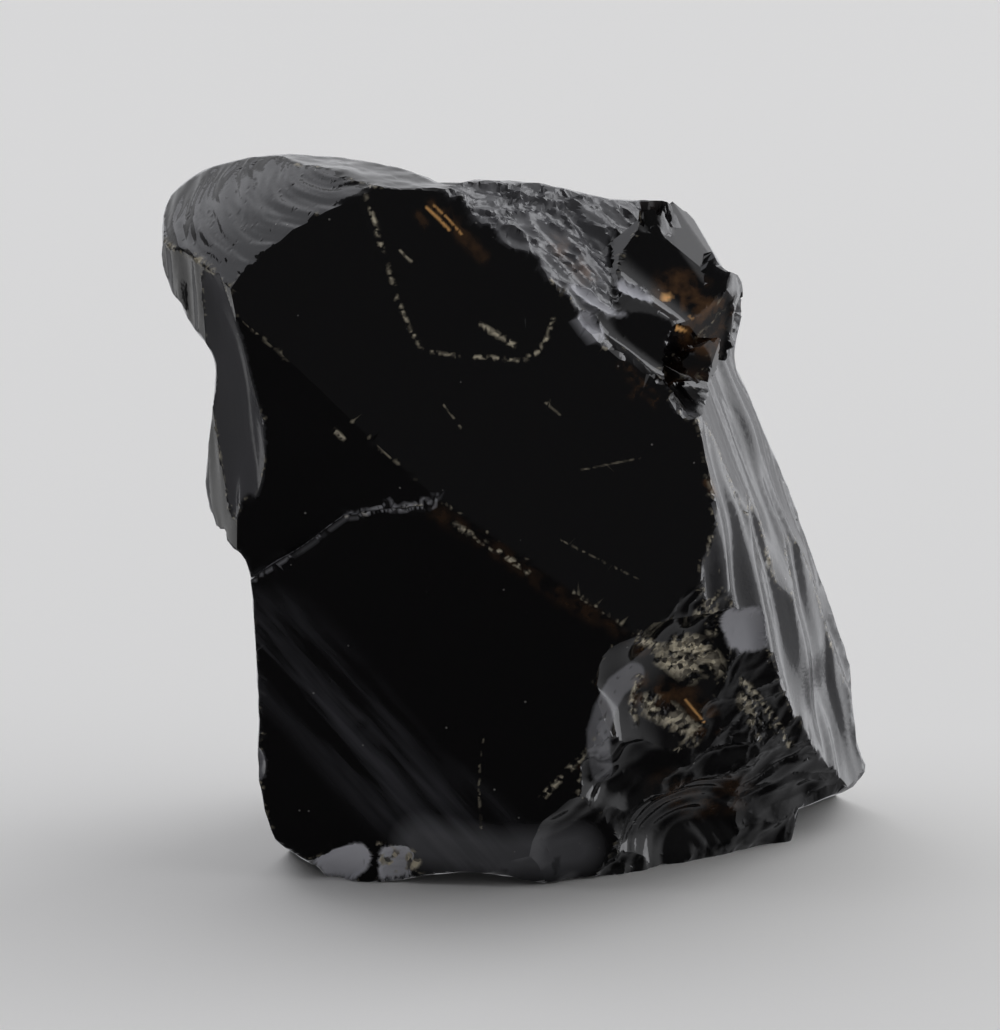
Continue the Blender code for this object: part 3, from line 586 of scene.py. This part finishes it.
class StoneField:
    def __init__(self, stone, frontFaces, block, scars, backFaces):
        self.stone = stone
        self.front = [Fracture(**f) for f in frontFaces]
        self.block = hullPlanes(block)
        self.late = [scar(**m) for m in scars] + [Fracture(**f) for f in backFaces]
        self.late.append(Fracture("underside", (0, 0, 0), (0, 0, -1), (100, 100), None, (0, 1, 0), None, 4.0, 0.5))
        self.all = self.front + self.late  # tag numbers count through this list, then block and wall
        self.blockTag, self.wallTag = len(self.all), len(self.all) + 1

    def blockHeight(self, points):
        return (points @ self.block[:, :3].T - self.block[:, 3]).max(axis=1)

    def tag(self, points, normals):
        best = abs(wallHeight(points, self.stone)) + 0.25
        tags = np.full(len(points), self.wallTag)
        heights = [(i, f.above(points), normals @ f.out) for i, f in enumerate(self.all)]
        steep = (normals @ self.block[:, :3].T).max(axis=1)
        heights.append((self.blockTag, self.blockHeight(points), steep))
        for i, height, facing in heights:
            score = abs(height) + 1.5 * (1 - facing)
            closer = score < best
            best, tags = np.where(closer, score, best), np.where(closer, i, tags)
        return tags

    def nearby(self, points, reach):
        near = [np.flatnonzero(abs(f.above(points)) < reach) for f in self.all]
        near.append(np.flatnonzero(self.blockHeight(points) < reach))
        near.append(np.flatnonzero(abs(wallHeight(points, self.stone)) < reach))
        return near

    def height(self, points, near):
        # below zero inside the stone
        level = np.full(len(points), -5.0)
        level[near[-1]] = wallHeight(points[near[-1]], self.stone)
        for i, fracture in enumerate(self.all):
            if i == len(self.front):
                level[near[-2]] = np.minimum(level[near[-2]], self.blockHeight(points[near[-2]]))
            level[near[i]] = np.maximum(level[near[i]], fracture.above(points[near[i]]))
        return level

    def settle(self, points, normals, reach=1.6, samples=17):
        # slide each point along its normal to the nearest place on the surface
        near = self.nearby(points, reach + 0.8)
        steps = np.linspace(-reach, reach, samples)
        levels = np.array([self.height(points + t * normals, near) for t in steps])
        leaves = (levels[:-1] <= 0) & (levels[1:] > 0)
        middle = abs((steps[:-1] + steps[1:]) / 2)[:, None]
        pick = np.where(leaves, middle, 99.0).argmin(axis=0)
        found = leaves[pick, np.arange(len(points))]
        low, high = steps[pick], steps[pick + 1]
        for turn in range(9):
            t = (low + high) / 2
            inside = self.height(points + t[:, None] * normals, near) <= 0
            low, high = np.where(inside, t, low), np.where(inside, high, t)
        settled = np.where(found[:, None], points + ((low + high) / 2)[:, None] * normals, points)
        lost = np.flatnonzero(~found)
        if reach < 3 and len(lost):
            settled[lost], found[lost] = self.settle(points[lost], normals[lost], 3.6, 37)
        return settled, found


def cadArrays(node):
    shape = bmesh.new()
    shape.from_mesh(node.data)
    bmesh.ops.remove_doubles(shape, verts=shape.verts, dist=1e-7)
    bmesh.ops.triangulate(shape, faces=shape.faces)
    points = np.array([v.co for v in shape.verts]) / mm - np.array(stone["centring"])
    triangles = np.array([[v.index for v in f.verts] for f in shape.faces])
    shape.free()
    return points, triangles


def faceNormals(points, triangles):
    p, q, r = points[triangles[:, 0]], points[triangles[:, 1]], points[triangles[:, 2]]
    flat = np.cross(q - p, r - p)
    return flat / (np.linalg.norm(flat, axis=1)[:, None] + 1e-12)


def creaseEdges(points, triangles, tags):
    # edges between two fracture faces: their ends, the two tags and the two normals
    edges = triangleEdges(triangles)
    owner = np.tile(np.arange(len(triangles)), 3)
    keys = edges[:, 0] * len(points) + edges[:, 1]
    order = np.lexsort((owner, keys))
    keys, edges, owner = keys[order], edges[order], owner[order]
    pair = np.flatnonzero((keys[1:] == keys[:-1]))
    one, two = owner[pair], owner[pair + 1]
    differ = tags[one] != tags[two]
    normals = faceNormals(points, triangles)
    return edges[pair][differ], tags[one][differ], tags[two][differ], normals[one][differ], normals[two][differ]


def placeBites(points, triangles, tags, field, groups, seed):
    # centres and radii of round bites along the chosen creases
    rng = np.random.default_rng(seed)
    names = [f.name for f in field.all] + ["block", "wall"]
    ends, tagOne, tagTwo, normalOne, normalTwo = creaseEdges(points, triangles, tags)
    centres, radii = [], []
    for group in groups:
        wanted = {names.index(n) for n in group["between"]}
        chosen = np.array([t in wanted for t in tagOne]) & np.array([t in wanted for t in tagTwo])
        if not chosen.any():
            print("  no crease for", group["between"])
            continue
        index = np.flatnonzero(chosen)
        length = np.linalg.norm(points[ends[index, 0]] - points[ends[index, 1]], axis=1)
        picks = rng.choice(index, group["count"], p=length / length.sum())
        for k in picks:
            wide = group["width"][0] * (group["width"][1] / group["width"][0]) ** (rng.uniform() ** 1.6)
            deep = wide * rng.uniform(0.06, 0.16)
            radius = (wide**2 / 4 + deep**2) / (2 * deep)
            lean = rng.uniform(0.05, 0.95)
            out = lean * normalOne[k] + (1 - lean) * normalTwo[k]
            out /= np.linalg.norm(out)
            t = rng.uniform()
            spot = points[ends[k, 0]] * (1 - t) + points[ends[k, 1]] * t
            if spot[2] > 0.6:
                centres.append(spot + (radius - deep) * out)
                radii.append(radius)
    return np.array(centres), np.array(radii)


def bite(points, centres, radii):
    # each bite is an uneven shell, not a ball
    rng = np.random.default_rng(stone["shellSeed"])
    for centre, radius in zip(centres, radii):
        stretch = rng.uniform(0.85, 1.5, 3)
        far = (points - centre) * stretch
        distance = np.linalg.norm(far, axis=1)
        inside = distance < radius
        points[inside] = centre + far[inside] / distance[inside, None] * radius / stretch
    return points


def lineDistance(points, line):
    # distance from a line; how deep under it the surface lies counts less
    rise = np.radians(stone["viewRise"])
    look = np.array([0, np.cos(rise), -np.sin(rise)])
    line = np.array(line, float)
    leftOut = stone["depthLeftOut"]
    points = points - leftOut * np.outer((points - line[0]) @ look, look)
    line = line - leftOut * np.outer((line - line[0]) @ look, look)
    best = np.full(len(points), 1e9)
    for start, end in zip(line[:-1], line[1:]):
        run = end - start
        t = np.clip((points - start) @ run / (run @ run), 0, 1)
        best = np.minimum(best, np.linalg.norm(points - start - t[:, None] * run, axis=1))
    return best


def patches(points, size, seed):
    # blotches between 0 and 1, evenly spread
    x, y, z = points.T
    field = drift(x + 0.4 * y, z - 0.3 * y, size, seed) + 0.6 * drift(x - z, y + z, size * 0.7, seed + 1)
    return np.clip(0.5 + field * 0.62, 0, 1)


def markValue(distance, mark, points, seed):
    fade = np.clip(mark.get("edge", 1.5) * (1 - distance / mark["radius"]), 0, 1)
    spread = patches(points, max(0.35, 0.6 * mark["radius"]), seed)
    return mark["strength"] * fade * np.clip((mark["cover"] - spread) / 0.12 + 0.5, 0, 1)


def creaseSpots(points, triangles, tags, names, between):
    ends, tagOne, tagTwo = creaseEdges(points, triangles, tags)[:3]
    wanted = [names.index(n) for n in between]
    chosen = np.isin(tagOne, wanted) & np.isin(tagTwo, wanted)
    return points[ends[chosen]]


def makeStone():
    field = StoneField(stone, frontFaces, shoulderBlock, scars, backFaces)
    points, triangles = cadArrays(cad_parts["andara_crystal"])
    tags = field.tag(points[triangles].mean(axis=1), faceNormals(points, triangles))
    print("  solid read", len(triangles))
    grains = np.array([f.grain for f in field.all] + [0.6, 2.0])

    for scale in (4, 2, 1):
        limits = scale * grains[tags]
        middle = points[triangles].mean(axis=1)
        for spot, reach, fine in fineSpots:
            near = np.linalg.norm(middle - spot, axis=1) < reach + 3 * (scale - 1)
            limits[near] = np.minimum(limits[near], scale * fine)
        points, triangles, tags = splitLong(points, triangles, tags, limits)
        triangles, tags = evenOut(points, triangles, tags)
        print("  split at", scale, len(triangles))
    directions = cornerNormals(points, triangles, 6)
    points, found = field.settle(points, directions)
    print("  settled,", int((~found).sum()), "left over")
    loose = ~found
    for turn in range(12):  # what found no surface follows its neighbours
        total, count = np.zeros_like(points), np.zeros(len(points))
        for k in range(3):
            for other in (triangles[:, (k + 1) % 3], triangles[:, (k + 2) % 3]):
                np.add.at(total, triangles[:, k], points[other])
                np.add.at(count, triangles[:, k], 1)
        points[loose] = total[loose] / count[loose, None]
    tags = field.tag(points[triangles].mean(axis=1), faceNormals(points, triangles))
    centres, radii = placeBites(points, triangles, tags, field, bites, stone["biteSeed"])

    names = [f.name for f in field.all] + ["block", "wall"]
    middle = points[triangles].mean(axis=1)
    limits = 1.3 * grains[tags]
    for centre, radius in zip(centres, radii):
        close = np.flatnonzero(abs(middle[:, 0] - centre[0]) < radius + 0.3)
        close = close[np.linalg.norm(middle[close] - centre, axis=1) < radius + 0.25]
        limits[close] = stone["biteGrain"]
    for mark in marks:
        close = lineDistance(middle, mark["line"]) < mark["radius"] + 0.45
        limits[close] = np.minimum(limits[close], mark.get("grain", max(0.2, min(0.9, mark["radius"]))))
    creases = []
    for mark in edgeMarks:
        spots = creaseSpots(points, triangles, tags, names, mark["between"])
        tree = KDTree(3 * len(spots))
        for k, (start, end) in enumerate(spots):
            for part in range(3):
                tree.insert(start + (end - start) * part / 2, 3 * k + part)
        tree.balance()
        creases.append(tree)
        near = np.full(len(middle), 99.0)
        if len(spots):
            near = np.array([tree.find(m)[2] or 99.0 for m in middle])
        close = near < mark["radius"] + 0.35
        limits[close] = np.minimum(limits[close], stone["creaseGrain"])
    points, triangles, tags = splitLong(points, triangles, tags, limits)
    points = bite(points, centres, radii)
    print("  bitten", len(radii), "times,", len(triangles), "triangles")
    values = {kind: np.zeros(len(points)) for kind in ("crushed", "greyHighlight", "amberBacklight", "paintedGlint", "haze")}
    normals = cornerNormals(points, triangles, 1)
    push = np.zeros(len(points))
    for number, mark in enumerate(marks):
        distance = lineDistance(points, mark["line"])
        value = markValue(distance, mark, points, 300 + number)
        values[mark["kind"]] = np.maximum(values[mark["kind"]], value)
        if "shatter" in mark:
            splinter = abs(drift(points[:, 0] * 1.3, points[:, 2] - points[:, 1], 0.55, 400 + number)) - 0.5
            push += mark["shatter"] * splinter * np.clip(1.6 * (1 - distance / mark["radius"]), 0, 1)
    points = points + push[:, None] * normals
    for number, (mark, tree) in enumerate(zip(edgeMarks, creases)):
        distance = np.array([tree.find(p)[2] or 99.0 for p in points])
        values[mark["kind"]] = np.maximum(values[mark["kind"]], markValue(distance, mark, points, 500 + number))
    print("  marked")
    mesh = bpy.data.meshes.new("crystal")
    mesh.from_pydata(((points + np.array(stone["centring"])) * mm).tolist(), [], triangles.tolist())
    layer = mesh.attributes.new("hackly", "FLOAT", "FACE")
    layer.data.foreach_set("value", np.array([f.finish for f in field.all] + [0.1, 0.3])[tags].astype(np.float32))
    # share of pale grey painted highlight at each corner, taken from its faces
    faceHighlightShares = np.array([f.greyHighlight for f in field.all] + [0.0, 0.05])[tags]
    total, count = np.zeros(len(points)), np.zeros(len(points))
    for k in range(3):
        np.add.at(total, triangles[:, k], faceHighlightShares)
        np.add.at(count, triangles[:, k], 1)
    values["facetHighlight"] = total / np.maximum(count, 1)
    for kind, value in values.items():
        layer = mesh.attributes.new(kind, "FLOAT", "POINT")
        layer.data.foreach_set("value", value.astype(np.float32))
    return addObject("crystal", mesh)


crystal = makeStone()
print("stone", len(crystal.data.polygons), "faces")


def finishMesh(item, stone):
    # smooth faces between hard edges, and how thin the glass is behind each corner
    shape = bmesh.new()
    shape.from_mesh(item.data)
    odd = sum(1 for e in shape.edges if len(e.link_faces) != 2)
    if odd:
        print("  odd edges", odd)
    for face in shape.faces:
        face.smooth = True
    for edge in shape.edges:
        edge.smooth = edge.calc_face_angle(0) < stone["sharpAngle"]
    shape.to_mesh(item.data)
    tree = BVHTree.FromBMesh(shape)
    shape.free()
    mesh = item.data
    points = np.array([v.co for v in mesh.vertices])
    triangles = np.array([list(p.vertices) for p in mesh.polygons])
    inward = -cornerNormals(points, triangles, 5)
    thin = np.zeros(len(points))
    for i in range(len(points)):
        hit = tree.ray_cast(points[i] + inward[i] * 0.3 * mm, inward[i])
        thin[i] = max(0.0, min(1.0, (stone["thinGlass"] - (hit[3] if hit[0] else 0.03) / mm) / stone["thinFade"]))
    for turn in range(3):
        total, count = thin.copy(), np.ones(len(points))
        for k in range(3):
            np.add.at(total, triangles[:, k], thin[triangles[:, (k + 1) % 3]])
            np.add.at(count, triangles[:, k], 1)
        thin = total / count
    # the painted brown of light shining through also lets more light through the thin glass
    amberBacklightMask = np.zeros(len(points), np.float32)
    mesh.attributes["amberBacklight"].data.foreach_get("value", amberBacklightMask)
    thin *= 0.3 + 0.7 * amberBacklightMask
    layer = mesh.attributes.new("thin", "FLOAT", "POINT")
    layer.data.foreach_set("value", thin.astype(np.float32))


finishMesh(crystal, stone)
print("mesh finished")


def addNode(tree, kind, links=None, **settings):
    # one node with its settings, input values and links
    node = tree.nodes.new("ShaderNode" + kind)
    for name, value in settings.items():
        if name.startswith("in_"):
            key = name[3:]
            node.inputs[int(key) if key.isdigit() else key.replace("_", " ")].default_value = value
        else:
            setattr(node, name, value)
    for socket, source in (links or {}).items():
        tree.links.new(source, node.inputs[socket])
    return node


glass = dict(
    body="0d0c0d",  # the melt, black with iron
    thinBody="8a5a30",
    haze="4c4c51",  # faint flow bands
    greyHighlight="dadae1",  # pale grey painted highlight, for facets that catch the lamps' light
    # brown of thin glass, painted where light shines through from behind
    amberBacklight="64472d",
    # painted golden glints
    paintedGlint="ffc27a",
    splinterLight="ece1c6",
    splinterDark="3a352e",
    dust="a09e9a",
    absorption="c98a4a",
    density=420.0,
    ior=1.5,
    bandLength=22.0,  # mm
    bandWidth=2.1,
    amberBacklightCells=0.7,  # pattern cells in each mm
    splinterCells=1.9,
    dustCells=0.42,
    polishCells=0.16,
    hackleCells=2.6,
    hackleDepth=0.06,  # mm
)


def volcanicGlass(glass):
    # obsidian like volcanic glass, left as it broke: conchoidal faces shine like wet black ink,
    # hackly places are softer, crushed ones scatter grey and cream, and thin edges let amber light through
    # pale grey highlights on some facets, golden glints and the brown of light shining through thin places are
    # painted into the colour
    material = bpy.data.materials.new("volcanicGlassConchoidal")
    material.use_nodes = True
    tree = material.node_tree
    shader = tree.nodes["Principled BSDF"]
    place = addNode(tree, "TexCoord").outputs["Object"]
    value = {}
    for name in ("hackly", "facetHighlight", "crushed", "greyHighlight", "amberBacklight", "paintedGlint", "haze", "thin"):
        value[name] = addNode(tree, "Attribute", attribute_name=name).outputs["Fac"]

    def blend(colour, other, share):
        mix = addNode(tree, "Mix", {"Factor": share}, data_type="RGBA")
        for socket, source in (("A", colour), ("B", other)):
            slot = [i for i in mix.inputs if i.name == socket and i.type == "RGBA"][0]
            if isinstance(source, str):
                slot.default_value = linearColour(source)
            else:
                tree.links.new(source, slot)
        return [o for o in mix.outputs if o.type == "RGBA"][0]

    # flow bands lie slantwise over the lower face, about 2.5 mm apart
    along, wide = glass["bandLength"] * mm, glass["bandWidth"] * mm
    banded = addNode(tree, "Mapping", {"Vector": place}, vector_type="TEXTURE", in_Rotation=(0.0, 0.86, 0.0),
                     in_Scale=(along, along, wide)).outputs["Vector"]
    bands = addNode(tree, "TexNoise", {"Vector": banded}, in_Scale=1.0, in_Detail=3.0,
                    in_Roughness=0.55).outputs["Fac"]
    bands = addNode(tree, "MapRange", {"Value": bands}, in_From_Min=0.4, in_From_Max=0.62).outputs["Result"]
    hazy = addNode(tree, "Math", {0: value["haze"], 1: bands}, operation="MULTIPLY").outputs[0]
    colour = blend(glass["body"], glass["haze"], hazy)
    # brown of the glass, painted where light shines through thin places
    amberBacklightCloud = addNode(tree, "TexNoise", {"Vector": place}, in_Scale=glass["amberBacklightCells"] / mm,
                         in_Detail=4.0).outputs["Fac"]
    amberBacklightCloud = addNode(tree, "MapRange", {"Value": amberBacklightCloud}, in_From_Min=0.38,
                         in_From_Max=0.66).outputs["Result"]
    amberBacklightShare = addNode(tree, "Math", {0: value["amberBacklight"], 1: amberBacklightCloud}, operation="MULTIPLY").outputs[0]
    colour = blend(colour, glass["amberBacklight"], amberBacklightShare)
    colour = blend(colour, glass["thinBody"], value["thin"])
    # pale grey painted highlight on facets that catch the light, made matte
    highlightShare = addNode(tree, "Math", {0: value["facetHighlight"], 1: value["greyHighlight"]}, operation="MAXIMUM").outputs[0]
    colour = blend(colour, glass["greyHighlight"], highlightShare)
    # painted golden glints where light seems to come through cracks
    colour = blend(colour, glass["paintedGlint"], value["paintedGlint"])
    # splinters of about 0.5 mm, some light and some dark
    chips = addNode(tree, "TexVoronoi", {"Vector": place}, in_Scale=glass["splinterCells"] / mm).outputs["Color"]
    tone = addNode(tree, "SeparateColor", {"Color": chips}).outputs["Red"]
    splinter = blend(glass["splinterDark"], glass["splinterLight"], tone)
    colour = blend(colour, splinter, value["crushed"])
    # dust specks of 0.1 to 0.2 mm, one in a few square millimetres
    spot = addNode(tree, "TexVoronoi", {"Vector": place}, in_Scale=glass["dustCells"] / mm)
    dot = addNode(tree, "MapRange", {"Value": spot.outputs["Distance"]}, in_From_Min=0.03, in_From_Max=0.055,
                  in_To_Min=1.0, in_To_Max=0.0).outputs["Result"]
    lucky = addNode(tree, "SeparateColor", {"Color": spot.outputs["Color"]}).outputs["Green"]
    lucky = addNode(tree, "Math", {0: lucky}, operation="GREATER_THAN", in_1=0.45).outputs[0]
    dusty = addNode(tree, "Math", {0: dot, 1: lucky}, operation="MULTIPLY").outputs[0]
    dusty = addNode(tree, "Math", {0: dusty}, operation="MULTIPLY", in_1=0.5).outputs[0]
    colour = blend(colour, glass["dust"], dusty)
    tree.links.new(colour, shader.inputs["Base Color"])
    # a clean break is nearly optical, broken places less so
    cloud = addNode(tree, "TexNoise", {"Vector": place}, in_Scale=glass["polishCells"] / mm,
                    in_Detail=3.0).outputs["Fac"]
    rough = addNode(tree, "MapRange", {"Value": cloud}, in_To_Min=0.02, in_To_Max=0.07).outputs["Result"]
    for name, amount in (("hackly", 0.14), ("facetHighlight", 0.5), ("greyHighlight", 0.5), ("crushed", 0.4), ("haze", 0.04)):
        rough = addNode(tree, "Math", {0: value[name], 2: rough}, operation="MULTIPLY_ADD",
                        in_1=amount).outputs[0]
    tree.links.new(rough, shader.inputs["Roughness"])
    clear = addNode(tree, "Math", {0: value["thin"], 1: highlightShare}, operation="SUBTRACT", use_clamp=True).outputs[0]
    tree.links.new(clear, shader.inputs["Transmission Weight"])
    shader.inputs["IOR"].default_value = glass["ior"]
    # fine hackle on the rough places
    grain = addNode(tree, "TexNoise", {"Vector": place}, in_Scale=glass["hackleCells"] / mm,
                    in_Detail=3.0).outputs["Fac"]
    strength = addNode(tree, "Math", {0: value["hackly"], 1: value["crushed"]}, operation="MAXIMUM").outputs[0]
    strength = addNode(tree, "Math", {0: strength}, operation="MULTIPLY", in_1=0.35).outputs[0]
    bump = addNode(tree, "Bump", {"Height": grain, "Strength": strength},
                   in_Distance=glass["hackleDepth"] * mm).outputs["Normal"]
    tree.links.new(bump, shader.inputs["Normal"])
    volume = addNode(tree, "VolumeAbsorption", in_Color=linearColour(glass["absorption"]),
                     in_Density=glass["density"])
    tree.links.new(volume.outputs["Volume"], tree.nodes["Material Output"].inputs["Volume"])
    return material


crystal.data.materials.append(volcanicGlass(glass))
print("glass made")

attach(crystal, "root")
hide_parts("andara_crystal")

studio = dict(
    floor="f4f3f0", floorRadius=1.6, backdrop="f6f6f5",
    boxDistance=1.3,  # metres
    ambientFront=0.085, ambientBack=0.93, coolTint=(0.985, 0.99, 1.02, 1.0),
    boxes=[
        dict(name="keyBox", towards=(-0.589, 0.207, 0.781), size=(1.15, 1.0),
             radiance=1.12, colour=(0.96, 0.97, 1.03)),
        dict(name="sideBox", towards=(0.86, 0.46, 0.08), size=(0.95, 1.0),
             radiance=1.65, colour=(0.98, 0.99, 1.02)),
        dict(name="topBox", towards=(0.62, 0.45, 0.64), size=(0.55, 0.55),
             radiance=2.0, colour=(0.98, 0.99, 1.02)),
        dict(name="leftCard", towards=(-0.85, 0.36, -0.22), size=(0.6, 0.5),
             radiance=0.9, colour=(1.0, 1.0, 1.0)),
    ],
)


def makeFloor(studio):
    mesh = bpy.data.meshes.new("floor")
    shape = bmesh.new()
    bmesh.ops.create_circle(shape, cap_ends=True, segments=96, radius=studio["floorRadius"])
    shape.to_mesh(mesh)
    shape.free()
    floor = addObject("floor", mesh)
    material = bpy.data.materials.new("mattePaperFloor")
    material.use_nodes = True
    shader = material.node_tree.nodes["Principled BSDF"]
    shader.inputs["Base Color"].default_value = linearColour(studio["floor"])
    shader.inputs["Roughness"].default_value = 0.9
    shader.inputs["Specular IOR Level"].default_value = 0.1
    mesh.materials.append(material)
    floor.visible_glossy = False  # keeps the paper out of the black mirror faces


def makeWorld(studio):
    world = bpy.data.worlds.new("studio")
    bpy.context.scene.world = world
    world.use_nodes = True
    tree = world.node_tree
    tree.nodes.clear()
    towards = addNode(tree, "TexCoord").outputs["Generated"]
    back = addNode(tree, "VectorMath", {0: towards}, operation="DOT_PRODUCT", in_1=(0.5, 0.866, 0.0)).outputs["Value"]
    level = addNode(tree, "MapRange", {"Value": back}, interpolation_type="SMOOTHSTEP",
                    in_From_Min=-0.25, in_From_Max=0.35,
                    in_To_Min=studio["ambientFront"], in_To_Max=studio["ambientBack"]).outputs["Result"]
    height = addNode(tree, "SeparateXYZ", {"Vector": towards}).outputs["Z"]
    under = addNode(tree, "MapRange", {"Value": height}, interpolation_type="SMOOTHSTEP",
                    in_From_Min=-0.6, in_From_Max=0.18,
                    in_To_Min=0.34, in_To_Max=1.0).outputs["Result"]
    level = addNode(tree, "Math", {0: level, 1: under}, operation="MULTIPLY").outputs[0]
    room = addNode(tree, "Background", {"Strength": level}, in_Color=studio["coolTint"]).outputs[0]
    paper = addNode(tree, "Background", in_Color=linearColour(studio["backdrop"])).outputs[0]
    seen = addNode(tree, "LightPath").outputs["Is Camera Ray"]
    mix = addNode(tree, "MixShader", {0: seen, 1: room, 2: paper}).outputs[0]
    addNode(tree, "OutputWorld", {"Surface": mix})


def addSoftBox(name, towards, size, radiance, colour):
    light = bpy.data.lights.new(name, "AREA")
    light.color = colour
    light.shape = "RECTANGLE"
    light.size, light.size_y = size
    light.energy = radiance * np.pi * size[0] * size[1]
    item = bpy.data.objects.new(name, light)
    direction = Vector(towards).normalized()
    item.location = direction * studio["boxDistance"] + Vector((0, 0, 0.036))
    item.rotation_euler = direction.to_track_quat("Z", "Y").to_euler()
    bpy.context.scene.collection.objects.link(item)
    item.visible_camera = False


view = dict(target=(-2.15, -10.67, 37.2), distance=0.6, sensor=36.0, lens=36.0 * 6000 / 1030)


def addCamera(view):
    data = bpy.data.cameras.new("camera")
    camera = bpy.data.objects.new("camera", data)
    bpy.context.scene.collection.objects.link(camera)
    rise = np.radians(stone["viewRise"])
    target = Vector(view["target"]) * mm
    back = Vector((0, -np.cos(rise), np.sin(rise)))
    camera.location = target + back * view["distance"]
    camera.rotation_euler = back.to_track_quat("Z", "Y").to_euler()
    data.sensor_width = view["sensor"]
    data.lens = view["lens"]
    data.clip_start = 0.02
    data.clip_end = 20.0
    bpy.context.scene.camera = camera


makeFloor(studio)
makeWorld(studio)
for box in studio["boxes"]:
    addSoftBox(**box)
addCamera(view)
bpy.context.scene.view_settings.view_transform = "Standard"
print("studio made")
